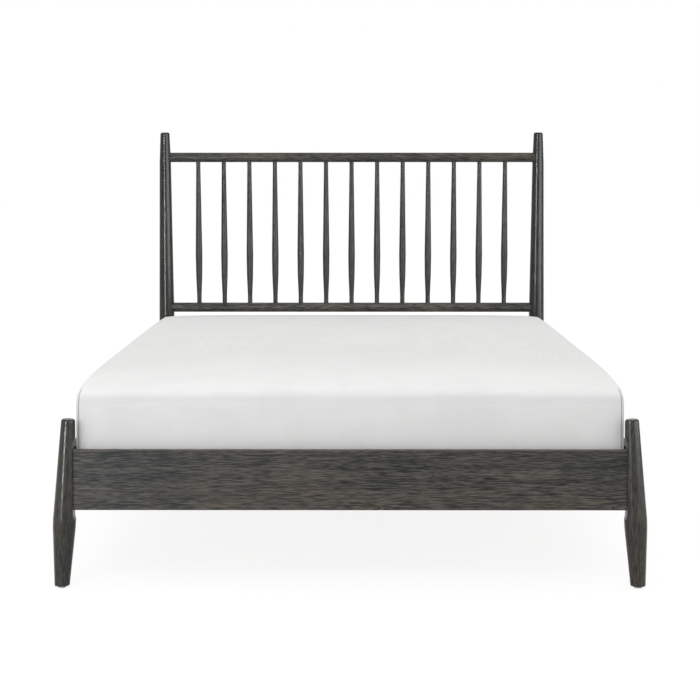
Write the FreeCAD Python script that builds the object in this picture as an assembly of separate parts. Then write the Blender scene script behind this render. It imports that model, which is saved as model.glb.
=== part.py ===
import FreeCAD, Part
import math
import os

from FreeCAD import Placement, Rotation, Vector

# A platform bed with a spindle headboard, turned posts and canted foot legs.
# Lengths are millimetres. +Z is up, +X is to the right seen from the foot end,
# +Y runs from the foot end to the headboard. The origin lies on the floor
# below the middle of the bed. Right-hand pieces are drawn and the left-hand
# ones are their mirror images.

# Mattress and fitted sheet
mattress_width = 1524
mattress_length = 2032
mattress_thickness = 254
mattress_corner_radius = 60
mattress_side_gap = 3
mattress_end_gap = 16
end_shoulder_width = 60
side_shoulder_width = 16
shoulder_height = 72
hem_height = 60
hem_draw = 22
crown_width = 300
crown_height = 5
side_draw = 3
sheet_thickness = 0.7
sheet_gap = 0.3
sheet_tuck = 110
platform_rest_gap = 0.3
shoulder_steps = 4

# Boards that tie the posts together
rail_height = 166
rail_thickness = 22
rail_bottom = 218
board_easing = 1.5

# Foot posts, turned as two cones and canted outward
foot_post_height = 470
foot_post_top_diameter = 38
foot_post_knee_diameter = 64
foot_post_floor_diameter = 41
foot_post_knee_height = 178
foot_post_outset = 4.5
foot_post_cant_degrees = 3
post_knee_reach = 12
post_top_rounding = 7

# Head posts, turned as three cones and upright
head_post_height = 1300
head_post_top_diameter = 37
head_post_shoulder_diameter = 46.5
head_post_shoulder_drop = 120
head_post_knee_diameter = 70
head_post_floor_diameter = 41
head_post_knee_height = 225
head_post_inset = 12.5

# Flats on the posts for the end boards, with a short scooped run-out above and below
end_flat_margin = 12
end_flat_side_margin = 5
end_scoop_radius = 40
end_scoop_run = 30

# Flats on the posts for the side rails, with a long scooped run-out
side_flat_margin = 4
side_flat_side_margin = 0.4
side_scoop_radius = 150
side_scoop_run = 48

# Round headboard rails, coped to the posts and tenoned into them
crest_rail_drop = 101.5
crest_rail_diameter = 39
lower_rail_height = 582.2
lower_rail_diameter = 38.6
cope_clearance = 0.1
rail_tenon_diameter = 20
rail_tenon_length = 26

# Turned spindles, seated in holes in the two round rails
spindle_count = 13
spindle_end_distance = 135
spindle_top_diameter = 17.6
spindle_foot_diameter = 18.8
spindle_knee_diameter = 29
spindle_knee_share = 0.72
spindle_knee_reach = 42
spindle_neck = 45
spindle_insert = 15

# Dowels between the end boards and the posts
dowel_diameter = 10
dowel_length = 48
dowel_spacing = 45
dowel_chamfer = 1.5

# Steel bed-rail fasteners: a slotted plate in the post, a hooked plate in the rail
plate_width = 16
plate_height = 130
plate_thickness = 3
plate_clearance = 0.2
plate_screw_spacing = 110
hook_spacing = 56
hook_width = 4.5
hook_neck = 14
hook_lip = 3
hook_lip_drop = 9
hook_lip_taper = 4
hook_gap = 0.2
slot_side_clearance = 0.3
slot_lift_clearance = 2
pocket_clearance = 1.5

# Wood screws
screw_shank_diameter = 4
screw_head_diameter = 8
screw_head_depth = 2.4
plate_screw_length = 30
ledger_screw_length = 40
slat_screw_length = 38
bracket_screw_length = 18

# Ledgers inside the side rails
ledger_width = 25
ledger_height = 38
ledger_end_gap = 14
ledger_screw_count = 8
ledger_screw_rise = 13
ledger_screw_end = 70

# Slats
slat_count = 13
slat_width = 90
slat_thickness = 20
slat_end_gap = 2
slat_recess = 74

# Beam under the slats, hung in steel brackets
beam_width = 40
beam_height = 68
beam_end_gap = 0.5
bracket_thickness = 2.5
bracket_side_gap = 0.3
bracket_depth = 40
bracket_cheek_height = 42
bracket_back_height = 60
bracket_wing = 20
bracket_screw_low = 18
bracket_screw_rise = 26

# Leg under the beam, with a levelling foot
leg_top_diameter = 52
leg_end_diameter = 38
leg_bottom = 28
leg_easing = 3
bolt_diameter = 8
bolt_in_leg = 40
bolt_in_beam = 35
insert_flange_diameter = 22
insert_flange_thickness = 2
insert_barrel_diameter = 12.4
insert_barrel_length = 14
stud_diameter = 8
stud_running_clearance = 0.05
stud_bore_clearance = 0.6
stud_top = 60
stud_hex_across = 13
stud_hex_height = 5
pad_diameter = 40
pad_height = 8
pad_easing = 2.5
pad_socket_depth = 4
leveller_travel = 12
leveller_air = 0.3

# Glides nailed under the posts
glide_diameter = 26
glide_height = 6
glide_easing = 2
glide_nail_diameter = 2.4
glide_nail_length = 18

# Shared clearances
hole_clearance = 0.1
hole_end_clearance = 1
cut_overrun = 12

# Places worked out from the sizes above
rail_top = rail_bottom + rail_height
rail_middle = rail_bottom + rail_height / 2
post_pitch = mattress_length + 2 * mattress_end_gap + rail_thickness
side_rail_x = mattress_width / 2 + mattress_side_gap + rail_thickness / 2
foot_post_axis_x = side_rail_x + foot_post_outset
head_post_axis_x = side_rail_x - head_post_inset
head_post_shoulder_height = head_post_height - head_post_shoulder_drop
crest_rail_height = head_post_height - crest_rail_drop
spindle_pitch = 2 * (head_post_axis_x - spindle_end_distance) / (spindle_count - 1)
slat_top = rail_top - slat_recess
slat_bottom = slat_top - slat_thickness
mattress_bottom = slat_top + platform_rest_gap + sheet_thickness + sheet_gap
beam_bottom = slat_bottom - beam_height
cant = math.radians(foot_post_cant_degrees)

foot_post_profile = [
    (foot_post_floor_diameter / 2, 0, 0),
    (foot_post_knee_diameter / 2, foot_post_knee_height, post_knee_reach),
    (foot_post_top_diameter / 2, foot_post_height, 0),
]
head_post_profile = [
    (head_post_floor_diameter / 2, 0, 0),
    (head_post_knee_diameter / 2, head_post_knee_height, post_knee_reach),
    (head_post_shoulder_diameter / 2, head_post_shoulder_height, 0),
    (head_post_top_diameter / 2, head_post_height, 0),
]


def block(low_x, high_x, low_y, high_y, low_z, high_z):
    size = (high_x - low_x, high_y - low_y, high_z - low_z)
    return Part.makeBox(*size, Vector(low_x, low_y, low_z))


def rod(diameter, start, end):
    way = end - start
    return Part.makeCylinder(diameter / 2, way.Length, start, way)


def board(low_x, high_x, low_y, high_y, low_z, high_z, grain):
    """A plank whose long edges, along grain, are eased."""
    plank = block(low_x, high_x, low_y, high_y, low_z, high_z)
    long_edges = []
    for edge in plank.Edges:
        way = edge.Vertexes[1].Point - edge.Vertexes[0].Point
        if way.cross(grain).Length < way.Length / 2:
            long_edges.append(edge)
    return plank.makeFillet(board_easing, long_edges)


def mirrored(shape):
    return shape.mirror(Vector(0, 0, 0), Vector(1, 0, 0))


def moved(shape, x, y, z=0):
    copy = shape.copy()
    copy.translate(Vector(x, y, z))
    return copy


def turned_about_z(shape, degrees):
    copy = shape.copy()
    copy.rotate(Vector(0, 0, 0), Vector(0, 0, 1), degrees)
    return copy


def pointed(shape, way):
    """A shape drawn along +Z, turned to point along way."""
    copy = shape.copy()
    copy.Placement = Placement(Vector(0, 0, 0), Rotation(Vector(0, 0, 1), way))
    return copy


def save(name, *solids):
    shape = solids[0] if len(solids) == 1 else Part.makeCompound(list(solids))
    shape.exportStep("parts/" + name + ".step")


def profile_points(profile):
    points = [Vector(0, 0, profile[0][1])]
    for radius, height, reach in profile:
        points.append(Vector(radius, 0, height))
    points.append(Vector(0, 0, profile[-1][1]))
    return points


def corner_ends(before, corner, after, reach):
    """Where an eased corner meets its two sides, reach away from the corner."""
    to_before = (before - corner).normalize()
    to_after = (after - corner).normalize()
    return corner + to_before * reach, corner + to_after * reach


def turned(profile):
    """A solid of revolution about Z from (radius, height, corner easing) from bottom to top."""
    corners = profile_points(profile)
    points = [corners[0]]
    for place, (radius, height, reach) in enumerate(profile, 1):
        if reach:
            points += corner_ends(corners[place - 1], corners[place], corners[place + 1], reach)
        else:
            points.append(corners[place])
    points += [corners[-1], corners[0]]
    face = Part.Face(Part.makePolygon(points))
    return face.revolve(Vector(0, 0, 0), Vector(0, 0, 1), 360)


def radius_at(profile, height):
    """The radius of a turned profile at a height, with its end cones carried on past its ends."""
    place = 1
    while place < len(profile) - 1 and profile[place][1] < height:
        place += 1
    low_radius, low_height = profile[place - 1][:2]
    high_radius, high_height = profile[place][:2]
    share = (height - low_height) / (high_height - low_height)
    return low_radius + share * (high_radius - low_radius)


def widest_radius(profile):
    """The radius of the knee's eased crest, at the profile's second station."""
    points = profile_points(profile)
    below, above = corner_ends(points[1], points[2], points[3], profile[1][2])
    return max(below.x, above.x)


def grown(profile, extra):
    return [(radius + extra, height, reach) for radius, height, reach in profile]


foot_y = (widest_radius(foot_post_profile) - widest_radius(head_post_profile) - post_pitch) / 2
head_y = foot_y + post_pitch
foot_rail_back = foot_y + rail_thickness / 2
head_rail_front = head_y - rail_thickness / 2
middle_y = (foot_y + head_y) / 2


def foot_axis_x(height):
    return foot_post_axis_x - math.tan(cant) * (height - rail_middle)


def flat_distance(profile, height, offset, side_margin):
    """How far from a post's axis a flat lies that is wide enough for a board's end and its margins."""
    half_width = rail_thickness / 2 + side_margin + abs(offset)
    return math.sqrt(radius_at(profile, height) ** 2 - half_width**2)


def end_flat_distance(profile, height):
    return flat_distance(profile, height, 0, end_flat_side_margin)


def side_flat_distance(profile, height, offset):
    return flat_distance(profile, height, offset, side_flat_side_margin)


foot_inner_flat_x = max(
    foot_axis_x(height) - end_flat_distance(foot_post_profile, height) for height in (rail_bottom, rail_top)
)
foot_back_flat_y = foot_y + min(
    side_flat_distance(foot_post_profile, height, side_rail_x - foot_axis_x(height))
    for height in (rail_bottom, rail_top)
)
head_inner_flat_x = head_post_axis_x - end_flat_distance(head_post_profile, rail_top)
head_front_flat_y = head_y - side_flat_distance(head_post_profile, rail_top, side_rail_x - head_post_axis_x)


def flat_cutter(margin, scoop_radius, scoop_run):
    """Cuts a flat that faces +X at x = 0, as tall as the rails and their margins, with scooped ends."""
    low = rail_bottom - margin
    high = rail_top + margin
    sweep = math.asin(scoop_run / scoop_radius)
    wide = foot_post_knee_diameter + head_post_knee_diameter

    def scoop(turn):
        return scoop_radius * (1 - math.cos(turn)), scoop_radius * math.sin(turn)

    end_out, end_run = scoop(sweep)
    middle_out, middle_run = scoop(sweep / 2)
    corners = [
        Vector(0, 0, low),
        Vector(0, 0, high),
        Vector(end_out, 0, high + end_run),
        Vector(wide, 0, high + end_run),
        Vector(wide, 0, low - end_run),
        Vector(end_out, 0, low - end_run),
    ]
    upper = Part.Arc(corners[1], Vector(middle_out, 0, high + middle_run), corners[2]).toShape()
    lower = Part.Arc(corners[5], Vector(middle_out, 0, low - middle_run), corners[0]).toShape()
    edges = [Part.makeLine(corners[0], corners[1]), upper]
    edges += [Part.makeLine(corners[k], corners[k + 1]) for k in (2, 3, 4)]
    edges.append(lower)
    outline = Part.Face(Part.Wire(edges))
    cutter = outline.extrude(Vector(0, wide, 0))
    return moved(cutter, 0, -wide / 2)


def end_flat_cutter():
    return turned_about_z(flat_cutter(end_flat_margin, end_scoop_radius, end_scoop_run), 180)


def side_flat_cutter(degrees):
    return turned_about_z(flat_cutter(side_flat_margin, side_scoop_radius, side_scoop_run), degrees)


def screw(length, extra=0):
    """A countersunk screw from its head's face at z = 0 down its length along +Z."""
    return turned(
        [
            (screw_head_diameter / 2 + extra, 0, 0),
            (screw_shank_diameter / 2 + extra, screw_head_depth, 0),
            (screw_shank_diameter / 2 + extra, length + extra, 0),
        ]
    )


def placed_screw(length, place, way, extra=0):
    fixed = pointed(screw(length, extra), way)
    fixed.translate(place)
    return fixed


def dowel(start, way, extra=0, end_extra=0):
    """A chamfered dowel pin centred on start along way, or the pair of holes for it."""
    radius = dowel_diameter / 2 + extra
    half = dowel_length / 2 + end_extra
    pin = turned(
        [
            (radius - dowel_chamfer, -half, 0),
            (radius, -half + dowel_chamfer, 0),
            (radius, half - dowel_chamfer, 0),
            (radius - dowel_chamfer, half, 0),
        ]
    )
    pin = pointed(pin, way)
    pin.translate(start)
    return pin


def board_dowels(face_x, y, extra=0, end_extra=0):
    pins = []
    for step in (-1, 0, 1):
        place = Vector(face_x, y, rail_middle + step * dowel_spacing)
        pins.append(dowel(place, Vector(1, 0, 0), extra, end_extra))
    return pins


# The bed-rail fastener is drawn with the joint's plane at y = 0, the post
# towards -Y and the rail towards +Y, and its width centred on x = 0.
hook_reach = plate_thickness + hook_gap + hook_lip


def hook_centres():
    return [rail_middle - hook_spacing / 2, rail_middle + hook_spacing / 2]


def plate_screw_heights():
    return [rail_middle - plate_screw_spacing / 2, rail_middle + plate_screw_spacing / 2]


def plate_blank(low_y, high_y, clearance=0):
    half_width = plate_width / 2 + clearance
    half_height = plate_height / 2 + clearance
    return block(-half_width, half_width, low_y, high_y, rail_middle - half_height, rail_middle + half_height)


def post_plate():
    plate = plate_blank(-plate_thickness, 0)
    for height in hook_centres():
        low = height - hook_neck / 2
        high = height + hook_neck / 2 + hook_lip_drop + slot_lift_clearance
        half = hook_width / 2 + slot_side_clearance
        plate = plate.cut(block(-half, half, -plate_thickness - cut_overrun, cut_overrun, low, high))
    for screw_hole in post_plate_screws(hole_clearance):
        plate = plate.cut(screw_hole)
    return plate


def post_plate_screws(extra=0):
    way = Vector(0, -1, 0)
    return [placed_screw(plate_screw_length, Vector(0, 0, z), way, extra) for z in plate_screw_heights()]


def rail_plate_screws(extra=0):
    way = Vector(0, 1, 0)
    return [placed_screw(plate_screw_length, Vector(0, 0, z), way, extra) for z in plate_screw_heights()]


def hook(height):
    top = height + hook_neck / 2
    bottom = height - hook_neck / 2
    lip_back = plate_thickness + hook_gap
    corners = [
        Vector(-hook_width / 2, plate_thickness / 2, bottom),
        Vector(-hook_width / 2, plate_thickness / 2, top),
        Vector(-hook_width / 2, -hook_reach, top),
        Vector(-hook_width / 2, -hook_reach, bottom - hook_lip_drop + hook_lip_taper),
        Vector(-hook_width / 2, -lip_back - hook_lip / 2, bottom - hook_lip_drop),
        Vector(-hook_width / 2, -lip_back, bottom),
    ]
    outline = Part.Face(Part.makePolygon(corners + corners[:1]))
    return outline.extrude(Vector(hook_width, 0, 0))


def rail_hook_plate():
    plate = plate_blank(0, plate_thickness)
    for height in hook_centres():
        plate = plate.fuse(hook(height))
    for screw_hole in rail_plate_screws(hole_clearance):
        plate = plate.cut(screw_hole)
    return plate.removeSplitter()


def post_fastener_cutters():
    cutters = [plate_blank(-plate_thickness, cut_overrun, plate_clearance)]
    half = hook_width / 2 + pocket_clearance
    for height in hook_centres():
        low = height - hook_neck / 2 - hook_lip_drop - pocket_clearance
        high = height + hook_neck / 2 + hook_lip_drop + slot_lift_clearance + pocket_clearance
        cutters.append(block(-half, half, -hook_reach - pocket_clearance, 0, low, high))
    return cutters + post_plate_screws(hole_clearance)


def rail_fastener_cutters():
    return [plate_blank(-cut_overrun, plate_thickness, plate_clearance)] + rail_plate_screws(hole_clearance)


def at_foot(shape):
    return moved(shape, side_rail_x, foot_back_flat_y)


def at_head(shape):
    return moved(shape.mirror(Vector(0, 0, 0), Vector(0, 1, 0)), side_rail_x, head_front_flat_y)


def at_all_rail_ends(shapes):
    """Copies of the fastener's pieces at both ends of both side rails."""
    right = [place(shape) for place in (at_foot, at_head) for shape in shapes]
    return right + [mirrored(shape) for shape in right]


def glide(extra=0):
    """A nail-on glide standing on z = 0, or the hole for its nail."""
    radius = glide_nail_diameter / 2 + extra
    nail_end = glide_height + glide_nail_length + extra
    nail = Part.makeCylinder(radius, nail_end - glide_height / 2, Vector(0, 0, glide_height / 2))
    if extra:
        return nail
    disc = turned(
        [
            (glide_diameter / 2 - glide_easing, 0, 0),
            (glide_diameter / 2, glide_easing, glide_easing / 2),
            (glide_diameter / 2, glide_height, 0),
        ]
    )
    return disc.fuse(nail)


def post_blank(profile, extra=0):
    """A turned post that runs on below the floor, to be cut off above its glide."""
    below = (radius_at(profile, -cut_overrun), -cut_overrun, 0)
    blank = turned(grown([below] + profile[1:], extra))
    rims = [edge for edge in blank.Edges if edge.BoundBox.ZMin > profile[-1][1] - post_top_rounding]
    return blank.makeFillet(post_top_rounding, rims)


def foot_post_right():
    post = post_blank(foot_post_profile)
    pivot = Vector(0, 0, rail_middle)
    lean = Rotation(Vector(0, 1, 0), -foot_post_cant_degrees)
    post.Placement = Placement(Vector(foot_post_axis_x, foot_y, 0), lean, pivot)
    inner = moved(end_flat_cutter(), foot_inner_flat_x, foot_y)
    back = moved(side_flat_cutter(90), side_rail_x, foot_back_flat_y)
    cutters = [inner, back] + board_dowels(foot_inner_flat_x, foot_y, hole_clearance, hole_end_clearance)
    cutters += [at_foot(cutter) for cutter in post_fastener_cutters()]
    cutters.append(below_glide(foot_axis_x(0), foot_y))
    cutters.append(moved(glide(hole_clearance), foot_axis_x(glide_height), foot_y))
    return cut_all(post, cutters)


def head_post_right():
    post = moved(post_blank(head_post_profile), head_post_axis_x, head_y)
    inner = moved(end_flat_cutter(), head_inner_flat_x, head_y)
    front = moved(side_flat_cutter(-90), side_rail_x, head_front_flat_y)
    cutters = [inner, front] + board_dowels(head_inner_flat_x, head_y, hole_clearance, hole_end_clearance)
    cutters += [at_head(cutter) for cutter in post_fastener_cutters()]
    for height in (crest_rail_height, lower_rail_height):
        cutters.append(rail_tenon(height, hole_clearance, hole_end_clearance))
    cutters.append(below_glide(head_post_axis_x, head_y))
    cutters.append(moved(glide(hole_clearance), head_post_axis_x, head_y))
    return cut_all(post, cutters)


def below_glide(x, y):
    wide = foot_post_knee_diameter + head_post_knee_diameter
    return block(x - wide, x + wide, y - wide, y + wide, -2 * cut_overrun, glide_height)


def cut_all(shape, cutters):
    for cutter in cutters:
        shape = shape.cut(cutter)
    return shape


def rail_tenon(height, extra=0, end_extra=0):
    """The right-hand tenon of a round rail, from inside the rail to its end in the post."""
    shoulder = head_post_axis_x - radius_at(head_post_profile, height)
    start = Vector(shoulder - rail_tenon_diameter, head_y, height)
    end = Vector(shoulder + rail_tenon_length + end_extra, head_y, height)
    return rod(rail_tenon_diameter + 2 * extra, start, end)


def spindle_places():
    first = -(spindle_count - 1) / 2 * spindle_pitch
    return [first + k * spindle_pitch for k in range(spindle_count)]


def round_rail(diameter, height):
    """A round rail whose ends are coped to the head posts and carry tenons."""
    rail = rod(diameter, Vector(-head_post_axis_x, head_y, height), Vector(head_post_axis_x, head_y, height))
    post = moved(post_blank(head_post_profile, cope_clearance), head_post_axis_x, head_y)
    rail = rail.cut(post).cut(mirrored(post))
    tenon = rail_tenon(height)
    return rail.fuse(tenon).fuse(mirrored(tenon)).removeSplitter()


spindle_top = crest_rail_height - crest_rail_diameter / 2 + spindle_insert
spindle_bottom = lower_rail_height + lower_rail_diameter / 2 - spindle_insert


def spindle_holes(diameter):
    """A rod at each spindle's place, as long as the spindles, for the holes in one round rail."""
    low = spindle_bottom - hole_end_clearance
    high = spindle_top + hole_end_clearance
    width = diameter + 2 * hole_clearance
    return [rod(width, Vector(x, head_y, low), Vector(x, head_y, high)) for x in spindle_places()]


def headboard_crest_rail():
    return cut_all(round_rail(crest_rail_diameter, crest_rail_height), spindle_holes(spindle_top_diameter))


def headboard_lower_rail():
    return cut_all(round_rail(lower_rail_diameter, lower_rail_height), spindle_holes(spindle_foot_diameter))


def spindle():
    """A spindle with straight ends, two cones and an eased knee below its middle."""
    knee_height = spindle_top - spindle_knee_share * (spindle_top - spindle_bottom)
    return turned(
        [
            (spindle_foot_diameter / 2, spindle_bottom, 0),
            (spindle_foot_diameter / 2, spindle_bottom + spindle_neck, 0),
            (spindle_knee_diameter / 2, knee_height, spindle_knee_reach),
            (spindle_top_diameter / 2, spindle_top - spindle_neck, 0),
            (spindle_top_diameter / 2, spindle_top, 0),
        ]
    )


def end_board(face_x, y):
    """A board across the bed between two posts' flats, with holes for its dowels."""
    half = rail_thickness / 2
    plank = board(-face_x, face_x, y - half, y + half, rail_bottom, rail_top, Vector(1, 0, 0))
    holes = board_dowels(face_x, y, hole_clearance, hole_end_clearance)
    return cut_all(plank, holes + [mirrored(hole) for hole in holes])


def foot_rail():
    rail = end_board(foot_inner_flat_x, foot_y)
    return cut_all(rail, bracket_screws_at_foot(hole_clearance))


def head_rail():
    rail = end_board(head_inner_flat_x, head_y)
    return cut_all(rail, bracket_screws_at_head(hole_clearance))


def both_sides_dowels(face_x, y):
    right = board_dowels(face_x, y)
    return right + [mirrored(pin) for pin in right]


def side_rail_right():
    half = rail_thickness / 2
    span = (foot_back_flat_y, head_front_flat_y)
    plank = board(side_rail_x - half, side_rail_x + half, *span, rail_bottom, rail_top, Vector(0, 1, 0))
    cutters = [at_foot(cutter) for cutter in rail_fastener_cutters()]
    cutters += [at_head(cutter) for cutter in rail_fastener_cutters()]
    return cut_all(plank, cutters + ledger_screws_right(hole_clearance))


ledger_outer_x = side_rail_x - rail_thickness / 2
ledger_inner_x = ledger_outer_x - ledger_width
ledger_bottom = slat_bottom - ledger_height
ledger_front = foot_y + foot_post_knee_diameter / 2 + ledger_end_gap
ledger_back = head_y - head_post_knee_diameter / 2 - ledger_end_gap


def side_ledger_right():
    span = (ledger_front, ledger_back)
    plank = board(ledger_inner_x, ledger_outer_x, *span, ledger_bottom, slat_bottom, Vector(0, 1, 0))
    cutters = ledger_screws_right(hole_clearance)
    cutters += slat_screws_right(hole_clearance)
    return cut_all(plank, cutters)


def ledger_screws_right(extra=0):
    """The screws that hold the ledger to its side rail."""
    first = ledger_front + ledger_screw_end
    last = ledger_back - ledger_screw_end
    step = (last - first) / (ledger_screw_count - 1)
    height = ledger_bottom + ledger_screw_rise
    places = [Vector(ledger_inner_x, first + k * step, height) for k in range(ledger_screw_count)]
    return [placed_screw(ledger_screw_length, place, Vector(1, 0, 0), extra) for place in places]


def slat_fronts():
    clear = head_rail_front - foot_rail_back
    gap = (clear - slat_count * slat_width) / (slat_count + 1)
    return [foot_rail_back + gap + k * (slat_width + gap) for k in range(slat_count)]


def slat(front):
    half = ledger_outer_x - slat_end_gap
    plank = board(-half, half, front, front + slat_width, slat_bottom, slat_top, Vector(1, 0, 0))
    hole = slat_screw(front + slat_width / 2, hole_clearance)
    return plank.cut(hole).cut(mirrored(hole))


def slat_screw(y, extra=0):
    place = Vector(ledger_outer_x - ledger_width / 2, y, slat_top)
    return placed_screw(slat_screw_length, place, Vector(0, 0, -1), extra)


def slat_screws_right(extra=0):
    return [slat_screw(front + slat_width / 2, extra) for front in slat_fronts()]


def centre_beam():
    half = beam_width / 2
    end = bracket_thickness + beam_end_gap
    span = (foot_rail_back + end, head_rail_front - end)
    beam = board(-half, half, *span, beam_bottom, slat_bottom, Vector(0, 1, 0))
    return beam.cut(leg_bolt(hole_clearance, hole_end_clearance))


def beam_bracket():
    """A steel hanger for the beam's end, drawn against a board face at y = 0, opening to +Y."""
    inner = beam_width / 2 + bracket_side_gap
    outer = inner + bracket_thickness
    low = beam_bottom - bracket_thickness
    deep = bracket_thickness + bracket_depth
    back_top = low + bracket_back_height
    back = block(-outer - bracket_wing, outer + bracket_wing, 0, bracket_thickness, low, back_top)
    cradle = block(-outer, outer, 0, deep, low, beam_bottom + bracket_cheek_height)
    room_top = beam_bottom + bracket_cheek_height + cut_overrun
    room = block(-inner, inner, bracket_thickness, deep + cut_overrun, beam_bottom, room_top)
    bracket = back.fuse(cradle.cut(room)).removeSplitter()
    return cut_all(bracket, bracket_screws(hole_clearance))


def bracket_screws(extra=0):
    """The four screws of a bracket, from its plate's front towards -Y."""
    side = beam_width / 2 + bracket_side_gap + bracket_thickness + bracket_wing / 2
    screws = []
    for x in (-side, side):
        for step in (0, 1):
            height = beam_bottom + bracket_screw_low + step * bracket_screw_rise
            place = Vector(x, bracket_thickness, height)
            screws.append(placed_screw(bracket_screw_length, place, Vector(0, -1, 0), extra))
    return screws


def bracket_to_foot(shape):
    return moved(shape, 0, foot_rail_back)


def bracket_to_head(shape):
    return moved(shape.mirror(Vector(0, 0, 0), Vector(0, 1, 0)), 0, head_rail_front)


def bracket_screws_at_foot(extra=0):
    return [bracket_to_foot(one) for one in bracket_screws(extra)]


def bracket_screws_at_head(extra=0):
    return [bracket_to_head(one) for one in bracket_screws(extra)]


def leg_bolt(extra=0, end_extra=0):
    start = Vector(0, middle_y, beam_bottom - bolt_in_leg - end_extra)
    end = Vector(0, middle_y, beam_bottom + bolt_in_beam + end_extra)
    return rod(bolt_diameter + 2 * extra, start, end)


def leg_insert_blank(extra=0):
    """The flanged barrel pressed into the leg's foot, or the seat for it."""
    flange_end = Vector(0, middle_y, leg_bottom + insert_flange_thickness)
    barrel_end = Vector(0, middle_y, leg_bottom + insert_barrel_length + extra)
    foot = Vector(0, middle_y, leg_bottom)
    flange = rod(insert_flange_diameter + 2 * extra, foot, flange_end)
    return flange.fuse(rod(insert_barrel_diameter + 2 * extra, foot, barrel_end))


def leg_insert():
    bore_end = Vector(0, middle_y, leg_bottom + insert_barrel_length + cut_overrun)
    bore_start = Vector(0, middle_y, leg_bottom - cut_overrun)
    return leg_insert_blank().cut(rod(stud_diameter + 2 * stud_running_clearance, bore_start, bore_end))


def centre_leg():
    leg = turned(
        [
            (leg_end_diameter / 2, leg_bottom, leg_easing),
            (leg_top_diameter / 2, beam_bottom, leg_easing),
        ]
    )
    leg = moved(leg, 0, middle_y)
    stud_room = Vector(0, middle_y, stud_top + leveller_travel + hole_end_clearance)
    bore = rod(stud_diameter + 2 * stud_bore_clearance, Vector(0, middle_y, leg_bottom - cut_overrun), stud_room)
    bolt_hole = leg_bolt(hole_clearance, hole_end_clearance)
    return cut_all(leg, [leg_insert_blank(hole_clearance), bore, bolt_hole])


def hexagon(across, low, high):
    corner = across / math.sqrt(3)
    points = []
    for k in range(7):
        turn = math.radians(60 * k)
        points.append(Vector(corner * math.cos(turn), middle_y + corner * math.sin(turn), low))
    return Part.Face(Part.makePolygon(points)).extrude(Vector(0, 0, high - low))


def leveller_stud():
    """The threaded stud, its hexagon just above the pad that it swivels in."""
    low = pad_height - pad_socket_depth + leveller_air
    shank = rod(stud_diameter, Vector(0, middle_y, low), Vector(0, middle_y, stud_top))
    hex_low = pad_height + leveller_air
    return shank.fuse(hexagon(stud_hex_across, hex_low, hex_low + stud_hex_height))


def leveller_pad():
    pad = turned(
        [
            (pad_diameter / 2 - pad_easing / 2, 0, 0),
            (pad_diameter / 2, pad_easing / 2, 0),
            (pad_diameter / 2, pad_height, pad_easing),
        ]
    )
    floor = Vector(0, 0, pad_height - pad_socket_depth)
    socket = rod(stud_diameter + 2 * stud_running_clearance, floor, Vector(0, 0, pad_height + cut_overrun))
    return moved(pad.cut(socket), 0, middle_y)


def post_glides():
    foot = moved(glide(), foot_axis_x(glide_height), foot_y)
    head = moved(glide(), head_post_axis_x, head_y)
    return [foot, head, mirrored(foot), mirrored(head)]


def rounded_outline(half_x, half_y, radius, height):
    """A rounded rectangle at a height, its sides drawn in a little between the corners."""
    corner = radius * (1 - math.sqrt(0.5))
    edges = []
    ways = [(1, 1), (-1, 1), (-1, -1), (1, -1)]
    for place, (x_way, y_way) in enumerate(ways):
        side_end = Vector(x_way * half_x, y_way * (half_y - radius), height)
        cross_end = Vector(x_way * (half_x - radius), y_way * half_y, height)
        middle = Vector(x_way * (half_x - corner), y_way * (half_y - corner), height)
        ends = (side_end, cross_end) if place % 2 == 0 else (cross_end, side_end)
        edges.append(Part.Arc(ends[0], middle, ends[1]).toShape())
        next_x, next_y = ways[(place + 1) % 4]
        if place % 2 == 0:
            far = Vector(next_x * (half_x - radius), next_y * half_y, height)
            pulled = Vector(0, y_way * (half_y - side_draw), height)
        else:
            far = Vector(next_x * half_x, next_y * (half_y - radius), height)
            pulled = Vector(x_way * (half_x - side_draw), 0, height)
        edges.append(Part.Arc(ends[1], pulled, far).toShape())
    return Part.Wire(edges)


def mattress_sections():
    """Heights above the mattress's underside, and how far its sides and ends are drawn in there."""
    upper = mattress_thickness - crown_height
    sections = [(0, hem_draw, hem_draw), (hem_height / 4, hem_draw / 4, hem_draw / 4), (hem_height, 0, 0)]
    for step in range(shoulder_steps + 1):
        turn = math.pi / 2 * step / shoulder_steps
        height = upper - shoulder_height * (1 - math.sin(turn))
        share = 1 - math.cos(turn)
        sections.append((height, side_shoulder_width * share, end_shoulder_width * share))
    for height, draw in ((upper + 3 * crown_height / 4, crown_width / 3), (mattress_thickness, crown_width)):
        sections.append((height, side_shoulder_width + draw, end_shoulder_width + draw))
    return sections


def mattress_form(offset):
    """The mattress's crowned form, standing out by offset on every side."""
    outlines = []
    stretch = (mattress_thickness + 2 * offset) / mattress_thickness
    for rise, side_draw_in, end_draw_in in mattress_sections():
        height = mattress_bottom - offset + rise * stretch
        half_x = mattress_width / 2 + offset - side_draw_in
        half_y = mattress_length / 2 + offset - end_draw_in
        outlines.append(rounded_outline(half_x, half_y, mattress_corner_radius + offset, height))
    form = Part.makeLoft(outlines, True, True)
    return moved(form, 0, (foot_rail_back + head_rail_front) / 2)


def fitted_sheet():
    """The sheet over the mattress's top and sides, open below inside its tucked hem."""
    skin = mattress_form(sheet_gap + sheet_thickness).cut(mattress_form(sheet_gap))
    half_x = mattress_width / 2 - sheet_tuck
    half_y = mattress_length / 2 - sheet_tuck
    low = mattress_bottom - cut_overrun
    opening = block(-half_x, half_x, -half_y, half_y, low, mattress_bottom + sheet_thickness)
    return skin.cut(moved(opening, 0, (foot_rail_back + head_rail_front) / 2))


def save_pair(name, right):
    save(name + "_right", right)
    save(name + "_left", mirrored(right))


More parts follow.
